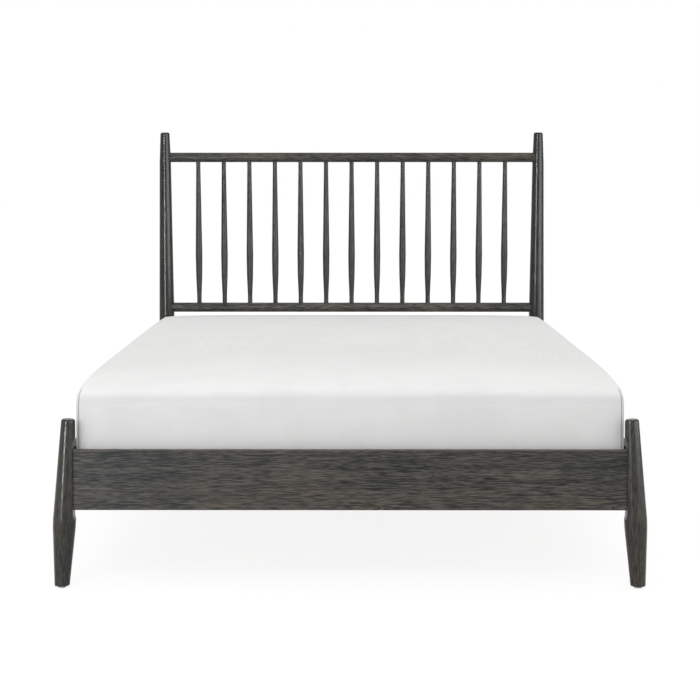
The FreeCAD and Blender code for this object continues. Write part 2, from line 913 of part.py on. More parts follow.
def main():
    os.makedirs("parts", exist_ok=True)
    save_pair("head_post", head_post_right())
    save_pair("foot_post", foot_post_right())
    save_pair("side_rail", side_rail_right())
    save_pair("side_ledger", side_ledger_right())
    save("headboard_crest_rail", headboard_crest_rail())
    save("headboard_lower_rail", headboard_lower_rail())
    for number, x in enumerate(spindle_places(), 1):
        save("spindle_%02d" % number, moved(spindle(), x, head_y))
    save("foot_rail", foot_rail())
    save("head_rail", head_rail())
    save("foot_rail_dowels", *both_sides_dowels(foot_inner_flat_x, foot_y))
    save("head_rail_dowels", *both_sides_dowels(head_inner_flat_x, head_y))
    save("post_plates", *at_all_rail_ends([post_plate()]))
    save("rail_hook_plates", *at_all_rail_ends([rail_hook_plate()]))
    save("plate_screws", *at_all_rail_ends(post_plate_screws() + rail_plate_screws()))
    right_ledger_screws = ledger_screws_right()
    save("ledger_screws", *right_ledger_screws, *map(mirrored, right_ledger_screws))
    for number, front in enumerate(slat_fronts(), 1):
        save("slat_%02d" % number, slat(front))
    right_slat_screws = slat_screws_right()
    save("slat_screws", *right_slat_screws, *map(mirrored, right_slat_screws))
    save("centre_beam", centre_beam())
    save("beam_bracket_foot", bracket_to_foot(beam_bracket()))
    save("beam_bracket_head", bracket_to_head(beam_bracket()))
    save("bracket_screws", *bracket_screws_at_foot(), *bracket_screws_at_head())
    save("centre_leg", centre_leg())
    save("leg_hanger_bolt", leg_bolt())
    save("leg_insert", leg_insert())
    save("leveller_stud", leveller_stud())
    save("leveller_pad", leveller_pad())
    save("post_glides", *post_glides())
    save("mattress", mattress_form(0))
    save("fitted_sheet", fitted_sheet())


main()
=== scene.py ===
import math

import bpy
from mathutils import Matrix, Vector, noise


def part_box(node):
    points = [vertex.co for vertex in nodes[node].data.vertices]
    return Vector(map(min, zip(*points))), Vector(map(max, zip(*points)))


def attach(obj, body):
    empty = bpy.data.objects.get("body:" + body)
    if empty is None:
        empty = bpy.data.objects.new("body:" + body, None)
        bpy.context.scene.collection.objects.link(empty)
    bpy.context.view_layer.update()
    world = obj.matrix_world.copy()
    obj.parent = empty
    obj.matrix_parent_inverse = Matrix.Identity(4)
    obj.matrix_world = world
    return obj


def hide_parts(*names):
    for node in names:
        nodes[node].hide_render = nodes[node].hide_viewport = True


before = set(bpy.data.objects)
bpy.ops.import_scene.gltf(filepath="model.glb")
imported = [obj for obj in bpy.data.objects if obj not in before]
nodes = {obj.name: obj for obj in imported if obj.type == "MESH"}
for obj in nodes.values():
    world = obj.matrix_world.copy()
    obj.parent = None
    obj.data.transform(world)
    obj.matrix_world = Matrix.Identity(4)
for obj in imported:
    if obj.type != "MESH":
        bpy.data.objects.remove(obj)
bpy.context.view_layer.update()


# Camera: millimetres on the sensor, metres in the scene, degrees

SENSOR_WIDTH, FOCAL_LENGTH = 36.0, 76.25
CAMERA_SHIFT = -0.0736
CAMERA_PLACE = (0.01318, -5.0595, 1.15216)
CAMERA_TILT, CAMERA_TURN = 85.0, 0.1845
CLIP_NEAR, CLIP_FAR = 0.05, 200.0


def photo_camera():
    """The photograph's viewpoint, fitted to the posts and rails measured in it."""
    data = bpy.data.cameras.new("photo_camera")
    camera = bpy.data.objects.new("photo_camera", data)
    bpy.context.scene.collection.objects.link(camera)
    data.sensor_width = SENSOR_WIDTH
    data.lens = FOCAL_LENGTH
    data.shift_y = CAMERA_SHIFT
    data.clip_start = CLIP_NEAR
    data.clip_end = CLIP_FAR
    camera.location = CAMERA_PLACE
    camera.rotation_euler = (math.radians(CAMERA_TILT), 0.0, math.radians(CAMERA_TURN))
    bpy.context.scene.camera = camera


# Shader building blocks

class Shader:
    """One procedural material on the Principled shader, in the object's own metres."""

    def __init__(self, name):
        self.material = bpy.data.materials.new(name)
        self.material.use_nodes = True
        self.tree = self.material.node_tree
        self.tree.nodes.clear()
        out = self.tree.nodes.new("ShaderNodeOutputMaterial")
        self.surface = self.tree.nodes.new("ShaderNodeBsdfPrincipled")
        self.link(self.surface.outputs["BSDF"], out.inputs["Surface"])
        self.point = self.tree.nodes.new("ShaderNodeTexCoord").outputs["Object"]

    def link(self, source, target):
        self.tree.links.new(source, target)

    def put(self, value, target):
        if isinstance(value, bpy.types.NodeSocket):
            self.link(value, target)
        else:
            target.default_value = value

    def set(self, **values):
        for name, value in values.items():
            self.put(value, self.surface.inputs[name.replace("_", " ")])

    def scaled(self, scale, location=(0.0, 0.0, 0.0), source=None):
        node = self.tree.nodes.new("ShaderNodeMapping")
        node.vector_type = "POINT"
        self.link(source or self.point, node.inputs["Vector"])
        node.inputs["Location"].default_value = location
        node.inputs["Scale"].default_value = scale
        return node.outputs["Vector"]

    def noise(self, vector, detail=3.0, rough=0.5, distortion=0.0, output="Fac"):
        node = self.tree.nodes.new("ShaderNodeTexNoise")
        self.link(vector, node.inputs["Vector"])
        node.inputs["Scale"].default_value = 1.0
        node.inputs["Detail"].default_value = detail
        node.inputs["Roughness"].default_value = rough
        node.inputs["Distortion"].default_value = distortion
        return node.outputs[output]

    def cells(self, vector):
        node = self.tree.nodes.new("ShaderNodeTexVoronoi")
        self.link(vector, node.inputs["Vector"])
        node.inputs["Scale"].default_value = 1.0
        return node

    def rings(self, vector, scale, direction, distortion, detail, detail_scale):
        """Rings round an axis, each rising slowly and falling at once, as a growth ring does."""
        node = self.tree.nodes.new("ShaderNodeTexWave")
        node.wave_type = "RINGS"
        node.rings_direction = direction
        node.wave_profile = "SAW"
        return self.wave(node, vector, scale, distortion, detail, detail_scale)

    def bands(self, vector, scale, direction, distortion, detail, detail_scale):
        node = self.tree.nodes.new("ShaderNodeTexWave")
        node.wave_type = "BANDS"
        node.bands_direction = direction
        node.wave_profile = "SIN"
        return self.wave(node, vector, scale, distortion, detail, detail_scale)

    def wave(self, node, vector, scale, distortion, detail, detail_scale):
        self.link(vector, node.inputs["Vector"])
        node.inputs["Scale"].default_value = scale
        node.inputs["Distortion"].default_value = distortion
        node.inputs["Detail"].default_value = detail
        node.inputs["Detail Scale"].default_value = detail_scale
        return node.outputs["Fac"]

    def math(self, operation, first, second=None, third=None):
        node = self.tree.nodes.new("ShaderNodeMath")
        node.operation = operation
        for value, target in zip((first, second, third), node.inputs):
            if value is not None:
                self.put(value, target)
        return node.outputs["Value"]

    def vector_math(self, operation, first, second=None, scale=None):
        node = self.tree.nodes.new("ShaderNodeVectorMath")
        node.operation = operation
        self.put(first, node.inputs[0])
        if second is not None:
            self.put(second, node.inputs[1])
        if scale is not None:
            self.put(scale, node.inputs["Scale"])
        return node.outputs["Vector"]

    def part(self, index, source=None):
        node = self.tree.nodes.new("ShaderNodeSeparateXYZ")
        self.link(source or self.point, node.inputs["Vector"])
        return node.outputs[index]

    def between(self, value, low, high, out_low=0.0, out_high=1.0, smooth=True):
        node = self.tree.nodes.new("ShaderNodeMapRange")
        node.interpolation_type = "SMOOTHSTEP" if smooth else "LINEAR"
        self.put(value, node.inputs["Value"])
        node.inputs["From Min"].default_value = low
        node.inputs["From Max"].default_value = high
        node.inputs["To Min"].default_value = out_low
        node.inputs["To Max"].default_value = out_high
        return node.outputs["Result"]

    def ramp(self, value, stops):
        node = self.tree.nodes.new("ShaderNodeValToRGB")
        self.put(value, node.inputs["Fac"])
        points = node.color_ramp.elements
        while len(points) < len(stops):
            points.new(0.5)
        for point, (place, colour) in zip(points, stops):
            point.position = place
            point.color = (*colour, 1.0)
        return node.outputs["Color"]

    def mix(self, share, first, second, blend="MIX"):
        node = self.tree.nodes.new("ShaderNodeMix")
        node.data_type = "RGBA"
        node.blend_type = blend
        self.put(share, node.inputs["Factor"])
        for value, name in ((first, "A"), (second, "B")):
            target = [s for s in node.inputs if s.name == name and s.type == "RGBA"][0]
            self.put(value if isinstance(value, bpy.types.NodeSocket) else (*value, 1.0), target)
        return [s for s in node.outputs if s.type == "RGBA"][0]

    def bump(self, height, distance):
        node = self.tree.nodes.new("ShaderNodeBump")
        self.put(height, node.inputs["Height"])
        node.inputs["Distance"].default_value = distance
        node.inputs["Strength"].default_value = 1.0
        self.link(node.outputs["Normal"], self.surface.inputs["Normal"])


X, Y, Z = range(3)


def along(axis, value_along, value_across):
    """A scale that treats the grain axis and the two across it differently."""
    return tuple(value_along if index == axis else value_across for index in range(3))


def even(value):
    return (value, value, value)


def shaded(colour, share):
    return tuple(share * value for value in colour)


# Wood. Each scale is in periods per metre, first along the grain, then across it

BEND_SCALE = (1.7, 8.0)
KNOT_SCALE = (3.1, 8.5)
STREAK_SCALE = (26.0, 430.0)
BROAD_SCALE = (5.5, 75.0)
PORE_SCALE = (60.0, 800.0)
PATCH_SCALE = (-2.6, 11.0)
KNOT_OFFSET, BROAD_OFFSET, PATCH_OFFSET = (0.37, 0.11, 0.53), (1.3, 4.1, 2.2), (5.2, 0.3, 2.5)

# How far the grain wanders and bends round a knot, in metres, and a knot's reach in cells, outer then inner
GRAIN_BEND, KNOT_PUSH = 0.009, 0.013
KNOT_EDGE = 0.02
HALO_REACH, CORE_REACH = (0.36, 0.02), (0.085, 0.03)
RING_DISTORTION, RING_DETAIL, RING_DETAIL_SCALE = 1.6, 3.0, 0.6

# Weights of the noises in the tone, and how far from the middle tone the darkest and the lightest lie
STREAK_WEIGHT, BROAD_WEIGHT, PORE_WEIGHT, PATCH_WEIGHT = 1.35, 0.36, 0.45, 0.52
DARK_REACH, LIGHT_REACH = 0.31, 0.35
TONE_STOPS = (0.0, 0.45, 1.0)
WARMTH = [(0.32, (0.96, 0.99, 1.03)), (0.52, (1.0, 1.0, 1.0)), (0.72, (1.10, 1.02, 0.90))]
KNOT_SHADE, FISSURE_SHADE, FISSURE_SHARE = 0.45, 0.6, 0.65
FISSURE_REACH = (0.38, 0.28)

# Worn long edges of the boards: the band's width in metres, outer then inner, and its colour
WORN_BAND = (0.0026, 0.0006)
WORN_BREAKS = dict(low=0.40, high=0.66, out_low=0.15, out_high=0.75)
WORN_COLOUR = (0.120, 0.090, 0.062)

# How far the roughness varies with the tone, and how much each noise counts in the relief
ROUGHER, SMOOTHER = 0.07, 0.05
STREAK_RELIEF, RING_RELIEF, PORE_RELIEF = 0.7, 0.25, 0.5


def wood(name, axis, pith, tones, knots=0.5, roughness=0.45, edges=None, rings=62.0, relief=0.00035,
         mirror=0.10, ring_share=0.14, turned=0.0, spread=0.72):
    """Sawn or turned wood: growth rings round a pith line, warped grain, streaks, pores, knots and patches.

    The tones run from dark to light, and a larger spread gives less contrast between them.
    """
    s = Shader(name)
    bend = s.noise(s.scaled(along(axis, *BEND_SCALE)), detail=2.0, output="Color")
    bend = s.vector_math("SUBTRACT", bend, even(0.5))
    bend = s.vector_math("MULTIPLY", bend, along(axis, 0.0, GRAIN_BEND))
    cells = s.cells(s.scaled(along(axis, *KNOT_SCALE), location=KNOT_OFFSET))
    chosen = s.between(s.part(0, cells.outputs["Color"]), 1.0 - knots, 1.0 - knots + KNOT_EDGE)
    reach = cells.outputs["Distance"]
    halo = s.math("MULTIPLY", s.between(reach, *HALO_REACH), chosen)
    knot = s.math("MULTIPLY", s.between(reach, *CORE_REACH), chosen)
    grain = s.vector_math("ADD", s.point, bend)
    push = s.vector_math("SCALE", along(axis, 0.0, KNOT_PUSH), scale=halo)
    grain = s.vector_math("ADD", grain, push)
    centred = s.scaled(even(1.0), location=shaded(pith, -1.0), source=grain)
    ring = s.rings(centred, rings, "XYZ"[axis], RING_DISTORTION, RING_DETAIL, RING_DETAIL_SCALE)
    streak = s.noise(s.scaled(along(axis, *STREAK_SCALE), source=grain), detail=2.0)
    broad = s.noise(s.scaled(along(axis, *BROAD_SCALE), location=BROAD_OFFSET, source=grain), rough=0.6)
    pores = s.noise(s.scaled(along(axis, *PORE_SCALE), source=grain), detail=2.0)
    patches = s.noise(s.scaled(along(axis, *PATCH_SCALE), location=PATCH_OFFSET), rough=0.6)

    value = s.math("MULTIPLY", ring, ring_share)
    value = s.math("MULTIPLY_ADD", streak, STREAK_WEIGHT, value)
    value = s.math("MULTIPLY_ADD", broad, BROAD_WEIGHT, value)
    value = s.math("MULTIPLY_ADD", pores, PORE_WEIGHT, value)
    value = s.math("MULTIPLY_ADD", patches, PATCH_WEIGHT, value)
    middle = 0.5 * (ring_share + STREAK_WEIGHT + BROAD_WEIGHT + PORE_WEIGHT + PATCH_WEIGHT)
    value = s.between(value, middle - DARK_REACH * spread, middle + LIGHT_REACH * spread, smooth=False)
    colour = s.ramp(value, list(zip(TONE_STOPS, tones)))
    colour = s.mix(1.0, colour, s.ramp(patches, WARMTH), "MULTIPLY")
    colour = s.mix(knot, colour, shaded(tones[0], KNOT_SHADE))
    fissure = s.between(streak, *FISSURE_REACH)
    colour = s.mix(s.math("MULTIPLY", fissure, FISSURE_SHARE), colour, shaded(tones[0], FISSURE_SHADE))
    if edges:
        low, high = edges
        place = s.part(Z)
        near = s.math("MINIMUM", s.math("SUBTRACT", place, low), s.math("SUBTRACT", high, place))
        worn = s.between(near, *WORN_BAND)
        worn = s.math("MULTIPLY", worn, s.between(streak, **WORN_BREAKS))
        colour = s.mix(worn, colour, WORN_COLOUR)

    uneven = s.between(value, 0.0, 1.0, roughness + ROUGHER, roughness - SMOOTHER, smooth=False)
    height = s.math("MULTIPLY_ADD", streak, STREAK_RELIEF, s.math("MULTIPLY", ring, RING_RELIEF))
    height = s.math("MULTIPLY_ADD", pores, PORE_RELIEF, height)
    s.set(Base_Color=colour, Roughness=uneven, Specular_IOR_Level=mirror)
    if turned:
        s.set(Anisotropic=turned, Anisotropic_Rotation=0.25)
    s.bump(height, relief)
    return s


# Metal and moulded pieces. Scales in periods per metre

SPANGLE_SCALE, BRUSH_SCALE, DUST_SCALE = even(260.0), (90.0, 90.0, 900.0), even(24.0)
DUST_BAND, DUST_SHADE = dict(low=0.55, high=0.8, out_high=0.35), 0.55
SCUFF_SCALE = even(45.0)
SCUFF_BAND, SCUFF_SHADE = dict(low=0.35, high=0.75, out_high=0.6), 0.8
GLOSS_BAND = (0.3, 0.7)
METAL_GLOSS, MOULDED_GLOSS, CLOTH_GLOSS = (-0.06, 0.12), (-0.05, 0.10), (-0.05, 0.04)
BRUSH_RELIEF = 0.00006


def glossy(s, pattern, roughness, gloss):
    """Roughness that varies with a pattern, by the two ends of the gloss."""
    return s.between(pattern, *GLOSS_BAND, roughness + gloss[0], roughness + gloss[1])


def metal(name, colour, roughness, spangle, metallic=1.0):
    """Plated or painted steel: small spangles, a brushed gloss and a little dust."""
    s = Shader(name)
    cells = s.cells(s.scaled(SPANGLE_SCALE))
    grain = s.noise(s.scaled(BRUSH_SCALE))
    dust = s.noise(s.scaled(DUST_SCALE), detail=4.0)
    tint = s.mix(s.part(0, cells.outputs["Color"]), shaded(colour, 1.0 - spangle), colour)
    tint = s.mix(s.between(dust, **DUST_BAND), tint, shaded(colour, DUST_SHADE))
    s.set(Base_Color=tint, Roughness=glossy(s, grain, roughness, METAL_GLOSS), Metallic=metallic)
    s.bump(grain, BRUSH_RELIEF)
    return s


def moulded(name, colour, roughness, relief=0.00012, scale=700.0):
    """Plastic or rubber with a fine grit and scuffs."""
    s = Shader(name)
    grit = s.noise(s.scaled(even(scale)))
    scuff = s.noise(s.scaled(SCUFF_SCALE), detail=4.0)
    tint = s.mix(s.between(scuff, **SCUFF_BAND), colour, shaded(colour, SCUFF_SHADE))
    s.set(Base_Color=tint, Roughness=glossy(s, scuff, roughness, MOULDED_GLOSS))
    s.bump(grit, relief)
    return s


# Cloth. A wave texture of this scale has one band per metre

BAND_SCALE = 0.314
THREAD_DISTORTION, THREAD_DETAIL, THREAD_DETAIL_SCALE = 0.6, 2.0, 3.0
SLUB_SCALE, CREASE_SCALE = (14.0, 90.0, 90.0), (5.5, 4.0, 3.0)
CREASE_DISTORTION = 0.4
THREAD_BAND, THREAD_SHADE = dict(low=0.2, high=1.0), 0.965
SLUB_BAND, SLUB_SHADE = dict(low=0.35, high=0.7, out_high=0.5), 0.972
# Band and share of the painted shade along the creases
CREASE_PAINTED_SHADE_BAND, CREASE_PAINTED_SHADE = dict(low=0.44, high=0.60, out_high=0.6), 0.955
SLUB_RELIEF, CREASE_RELIEF = 0.35, 12.0
SHEEN_ROUGHNESS, CLOTH_MIRROR = 0.45, 0.2
# The seam's dark colour is a painted shadow of the groove beside the sewn seam
TICKING_COLOUR, SHEET_COLOUR, SEAM_PAINTED_SHADOW_COLOUR = (0.80, 0.79, 0.76), even(0.80), (0.40, 0.39, 0.38)


def woven(name, colour, pitch, roughness, relief, sheen):
    """Plain weave of warp and weft with uneven threads, faint creases with painted shade along them, and a
    soft sheen.
    """
    s = Shader(name)
    thread = (THREAD_DISTORTION, THREAD_DETAIL, THREAD_DETAIL_SCALE)
    warp, weft, rise = (s.bands(s.point, BAND_SCALE / pitch, direction, *thread) for direction in "XYZ")
    slub = s.noise(s.scaled(SLUB_SCALE), detail=4.0, rough=0.6)
    crease = s.noise(s.scaled(CREASE_SCALE), rough=0.55, distortion=CREASE_DISTORTION)
    threads = s.math("MAXIMUM", warp, s.math("MAXIMUM", weft, rise))
    tint = s.mix(s.between(threads, **THREAD_BAND), shaded(colour, THREAD_SHADE), colour)
    tint = s.mix(s.between(slub, **SLUB_BAND), tint, shaded(colour, SLUB_SHADE))
    # Painted shade: the tint darkens along the crease pattern that also raises the creases
    tint = s.mix(s.between(crease, **CREASE_PAINTED_SHADE_BAND), tint, shaded(colour, CREASE_PAINTED_SHADE))
    height = s.math("MULTIPLY_ADD", slub, SLUB_RELIEF, threads)
    height = s.math("MULTIPLY_ADD", crease, CREASE_RELIEF, height)
    s.set(Base_Color=tint, Roughness=glossy(s, slub, roughness, CLOTH_GLOSS))
    s.set(Sheen_Weight=sheen, Sheen_Roughness=SHEEN_ROUGHNESS, Specular_IOR_Level=CLOTH_MIRROR)
    s.bump(height, relief)
    return s


# Materials of the fixed frame

STAIN = ((0.0180, 0.0172, 0.0161), (0.0545, 0.0512, 0.0463), (0.1180, 0.1095, 0.0975))
# Shares of the stain for single parts, set for how the lamps fall on them: painted shade on the head posts,
# spindles and foot posts, painted light on the lower rail
HEAD_POST_PAINTED_SHADE, SPINDLE_PAINTED_SHADE, FOOT_POST_PAINTED_SHADE, LOWER_RAIL_PAINTED_LIGHT = 0.70, 0.70, 0.94, 1.22
TURNED = dict(mirror=0.12, turned=0.25, spread=1.4)
RAIL = dict(knots=0.15, roughness=0.38, mirror=0.12)
SIDES = (("left", -1.0), ("right", 1.0))
PINE = dict(tones=((0.36, 0.225, 0.115), (0.58, 0.415, 0.245), (0.70, 0.54, 0.36)),
            roughness=0.58, ring_share=0.9)
BEECH = dict(tones=((0.44, 0.29, 0.165), (0.60, 0.42, 0.26), (0.70, 0.52, 0.35)),
             roughness=0.5, ring_share=0.5)
ZINC, BRIGHT_STEEL, BLACK_PAINT = (0.62, 0.62, 0.63), (0.55, 0.55, 0.52), (0.030, 0.030, 0.032)
PALE_PLASTIC, BLACK_RUBBER = (0.62, 0.61, 0.585), (0.022, 0.022, 0.022)

# Pith lines, which decide how the growth rings cross a piece: distances from a board's or rail's front,
# from its top or underside and above the floor, and otherwise places in the scene
FOOT_BOARD_PITH_BACK, FOOT_BOARD_PITH_RISE = 0.105, 0.315
HEAD_BOARD_PITH_FRONT, HEAD_BOARD_PITH_RISE = 0.09, 0.28
CREST_PITH_FRONT, CREST_PITH_ABOVE = 0.06, 0.03
LOWER_PITH_FRONT, LOWER_PITH_BELOW = 0.05, 0.04
SIDE_PITH_X, SIDE_PITH_RISE = 0.67, 0.29
POST_PITH_X, HEAD_PITH_Y, FOOT_PITH_Y = 0.70, 0.97, -1.11
SPINDLE_PITH, LEG_PITH = (-1.5, 1.1, 0.0), (0.05, -0.06, 0.0)
SLAT_PITH, LEDGER_PITH, BEAM_PITH = (0.0, 0.0, 0.20), (0.0, 0.0, 0.10), (0.05, 0.0, 0.12)
DOWEL_PITH = (0.0, 0.0, 0.20)


def give(names, shader):
    for name in names:
        for slot in nodes[name].material_slots:
            slot.material = shader.material


def heights(node):
    low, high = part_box(node)
    return low.z, high.z


def stain(share=1.0):
    """The three tones of the dark stain, made darker or paler by one share; the shares given for single parts
    are painted shade and painted light.
    """
    return tuple(shaded(tone, share) for tone in STAIN)


def dress_boards():
    """The stained boards: foot board, head board and side boards, with worn long edges."""
    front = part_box("foot_rail")[0].y
    pith = (0.0, front + FOOT_BOARD_PITH_BACK, FOOT_BOARD_PITH_RISE)
    give(["foot_rail"],
         wood("stained_foot_board", X, pith, stain(), knots=0.55, edges=heights("foot_rail")))
    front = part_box("head_rail")[0].y
    pith = (0.0, front - HEAD_BOARD_PITH_FRONT, HEAD_BOARD_PITH_RISE)
    give(["head_rail"],
         wood("stained_head_board", X, pith, stain(), knots=0.4, edges=heights("head_rail")))
    for side, sign in SIDES:
        board = "side_rail_" + side
        pith = (sign * SIDE_PITH_X, 0.0, SIDE_PITH_RISE)
        give([board],
             wood("stained_side_board_" + side, Y, pith, stain(), knots=0.45, edges=heights(board)))


def dress_turnings():
    """The stained turned pieces: posts, rails of the headboard, spindles and centre leg."""
    # The posts' darker shares of the stain are painted shade
    ends = (("head", HEAD_PITH_Y, HEAD_POST_PAINTED_SHADE), ("foot", FOOT_PITH_Y, FOOT_POST_PAINTED_SHADE))
    for side, sign in SIDES:
        for end, y, share in ends:
            pith = (sign * POST_PITH_X, y, 0.0)
            give([f"{end}_post_{side}"],
                 wood(f"stained_{end}_post_{side}", Z, pith, stain(share), knots=0.12, roughness=0.18,
                      relief=0.00018, **TURNED))
    low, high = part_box("headboard_crest_rail")
    pith = (0.0, low.y - CREST_PITH_FRONT, high.z + CREST_PITH_ABOVE)
    give(["headboard_crest_rail"], wood("stained_crest_rail", X, pith, stain(), **RAIL))
    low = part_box("headboard_lower_rail")[0]
    pith = (0.0, low.y - LOWER_PITH_FRONT, low.z - LOWER_PITH_BELOW)
    # The lower rail's paler share of the stain is painted light
    give(["headboard_lower_rail"], wood("stained_lower_rail", X, pith, stain(LOWER_RAIL_PAINTED_LIGHT), **RAIL))
    # The spindles' darker share of the stain is painted shade
    give([name for name in nodes if name.startswith("spindle_")],
         wood("stained_spindle", Z, SPINDLE_PITH, stain(SPINDLE_PAINTED_SHADE), knots=0.05, roughness=0.30,
              rings=90.0, **TURNED))
    give(["centre_leg"], wood("stained_centre_leg", Z, LEG_PITH, stain(), knots=0.2))


def dress_platform():
    """The raw pine of the platform and the beech of the dowels."""
    give([name for name in nodes if name.startswith("slat_") and name != "slat_screws"],
         wood("pine_slat", X, SLAT_PITH, knots=0.5, rings=34.0, **PINE))
    give(["side_ledger_left", "side_ledger_right"],
         wood("pine_ledger", Y, LEDGER_PITH, knots=0.4, rings=40.0, **PINE))
    give(["centre_beam"], wood("pine_beam", Y, BEAM_PITH, knots=0.5, rings=34.0, **PINE))
    give(["foot_rail_dowels", "head_rail_dowels"],
         wood("beech_dowel", X, DOWEL_PITH, knots=0.0, rings=120.0, **BEECH))


def dress_hardware():
    """The steel fasteners and brackets, the plastic glides and the leveller's rubber pad."""
    give(["post_plates", "rail_hook_plates", "leg_insert", "leveller_stud", "leg_hanger_bolt"],
         metal("zinc_plated_steel", ZINC, roughness=0.34, spangle=0.14))
    give([name for name in nodes if name.endswith("_screws")],
         metal("screw_steel", BRIGHT_STEEL, roughness=0.38, spangle=0.10))
    give(["beam_bracket_foot", "beam_bracket_head"],
         metal("black_bracket", BLACK_PAINT, roughness=0.42, spangle=0.15, metallic=0.0))
    give(["post_glides"], moulded("glide_plastic", PALE_PLASTIC, roughness=0.45))
    give(["leveller_pad"], moulded("pad_rubber", BLACK_RUBBER, roughness=0.78, relief=0.0003, scale=420.0))


# Mattress and sheet, in metres: a stack of rings up the sides, closed by a grid above and below

MATTRESS_LOW, MATTRESS_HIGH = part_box("mattress")
BOTTOM, TOP = MATTRESS_LOW.z, MATTRESS_HIGH.z
MIDDLE_Y = (MATTRESS_LOW.y + MATTRESS_HIGH.y) / 2.0
THICKNESS = TOP - BOTTOM
HALF_X = (MATTRESS_HIGH.x - MATTRESS_LOW.x) / 2.0
HALF_Y = (MATTRESS_HIGH.y - MATTRESS_LOW.y) / 2.0

# Corners seen from above, and how far the long sides and the hem draw in
FOOT_CORNER, HEAD_CORNER = 0.011, 0.060
SIDE_DRAW = 0.003
HEM_RISE, HEM_DRAW, HEM_POWER = 0.060, 0.022, 4
HEM_SHARES = (0.0, 0.03, 0.09, 0.2, 0.4, 0.7, 1.0)
FLAT_RISES = (0.080, 0.100, 0.120)

# Shoulders: their height, their depth on the long sides and at the ends, and the drop of the end's curve
SHOULDER, SIDE_SHOULDER, END_SHOULDER = 0.066, 0.011, 0.070
END_DROP, END_POWER = 0.038, 2.5
SHOULDER_STEPS = 18

# The foot corners draw in towards the end, most at the outermost points
CORNER_DRAW, CORNER_LEAN = 0.0078, 0.002
CORNER_RUN, CORNER_POWER = 0.32, 1.6
CORNER_START, CORNER_SHARPNESS = 0.7, 8

# The top: its ends sink, its middle stands fuller than its edges, and its border is crowned
END_SLOPE, FOOT_SINK, HEAD_SINK = 0.66, 0.010, 0.0095
FOOT_SINK_POWER, HEAD_SINK_POWER = 2.4, 2.2
MIDDLE_SINK_SHARE, SINK_POWER = 0.5, 4
BELLY, FOOT_RUN, HEAD_RUN, BELLY_POWER = 0.020, 0.28, 0.52, 2.4
CROWN, CROWN_REACH, CROWN_POWER = 0.002, 0.300, 2.6

# Half of a corner's arc in degrees, and steps round a ring: on each arc, along an end and along a long side
EIGHTH_TURN = 45.0
ARC_STEPS, X_STEPS, Y_STEPS = 12, 78, 106
HALF_ARC = ARC_STEPS // 2
ACROSS, DEEP = X_STEPS + ARC_STEPS, Y_STEPS + ARC_STEPS
RING = 2 * (ACROSS + DEEP)

# Cloth simulation: pressure, frames, a point's least hold and its longest move, and the heights between which
# the pad goes from held to free
PRESSURE, FRAMES, HOLD, CAP = 4.0, 20, 0.30, 0.0025
HELD_LOW, HELD_HIGH = 0.020, 0.110
CLOTH_QUALITY, CLOTH_MASS = 6, 0.3
TENSION, SHEAR, BENDING = 15.0, 5.0, 0.5
LEVEL_NORMAL = 0.9


def limited(share):
    return min(max(share, 0.0), 1.0)


def eased(share):
    """A share from 0 to 1 with level ends."""
    share = limited(share)
    return share * share * (3.0 - 2.0 * share)


def outline(half_x, half_y):
    """Points round the mattress, counter-clockwise from the middle of the corner at -x, -y.

    The corners at the foot are nearly square, and those at the head are pressed rounder by the posts.
    """
    foot, head = FOOT_CORNER, HEAD_CORNER
    corners = [(-half_x + foot, -half_y + foot, 225.0, foot), (half_x - foot, -half_y + foot, 315.0, foot),
               (half_x - head, half_y - head, 45.0, head), (-half_x + head, half_y - head, 135.0, head)]

    def on_arc(corner, turn):
        cx, cy, middle, radius = corner
        angle = math.radians(middle + turn)
        return Vector((cx + radius * math.cos(angle), cy + radius * math.sin(angle), 0.0))

    points = []
    for number, steps in enumerate((X_STEPS, Y_STEPS, X_STEPS, Y_STEPS)):
        corner, following = corners[number], corners[(number + 1) % len(corners)]
        for step in range(HALF_ARC + 1):
            points.append(on_arc(corner, EIGHTH_TURN * step / HALF_ARC))
        start, end = points[-1], on_arc(following, -EIGHTH_TURN)
        run = end - start
        inward = Vector((-run.y, run.x, 0.0)).normalized()
        for step in range(1, steps):
            share = step / steps
            points.append(start.lerp(end, share) + inward * SIDE_DRAW * (1.0 - (2.0 * share - 1.0) ** 2))
        for step in range(HALF_ARC):
            points.append(on_arc(following, EIGHTH_TURN * step / HALF_ARC - EIGHTH_TURN))
    return points


def sink(x, y):
    """How far the top lies below its crown near the two ends: more at the foot, and most at its corners."""
    inside = MIDDLE_SINK_SHARE + (1.0 - MIDDLE_SINK_SHARE) * min(abs(x) / HALF_X, 1.0) ** SINK_POWER
    foot = limited(1.0 - (y - MIDDLE_Y + HALF_Y - END_SHOULDER) / END_SLOPE)
    head = limited(1.0 - (HALF_Y - END_SHOULDER - y + MIDDLE_Y) / END_SLOPE)
    return inside * (FOOT_SINK * foot ** FOOT_SINK_POWER + HEAD_SINK * head ** HEAD_SINK_POWER)


def belly(x, y):
    """How much fuller the top stands in its middle than along its edges."""
    share = (y - MIDDLE_Y + HALF_Y) / (2.0 * HALF_Y)
    across = 1.0 - min(abs(x) / HALF_X, 1.0) ** BELLY_POWER
    return BELLY * across * eased(share / FOOT_RUN) * eased((1.0 - share) / HEAD_RUN)


def crown(distance):
    share = min(distance / CROWN_REACH, 1.0)
    return CROWN * (1.0 - (1.0 - share) ** CROWN_POWER)


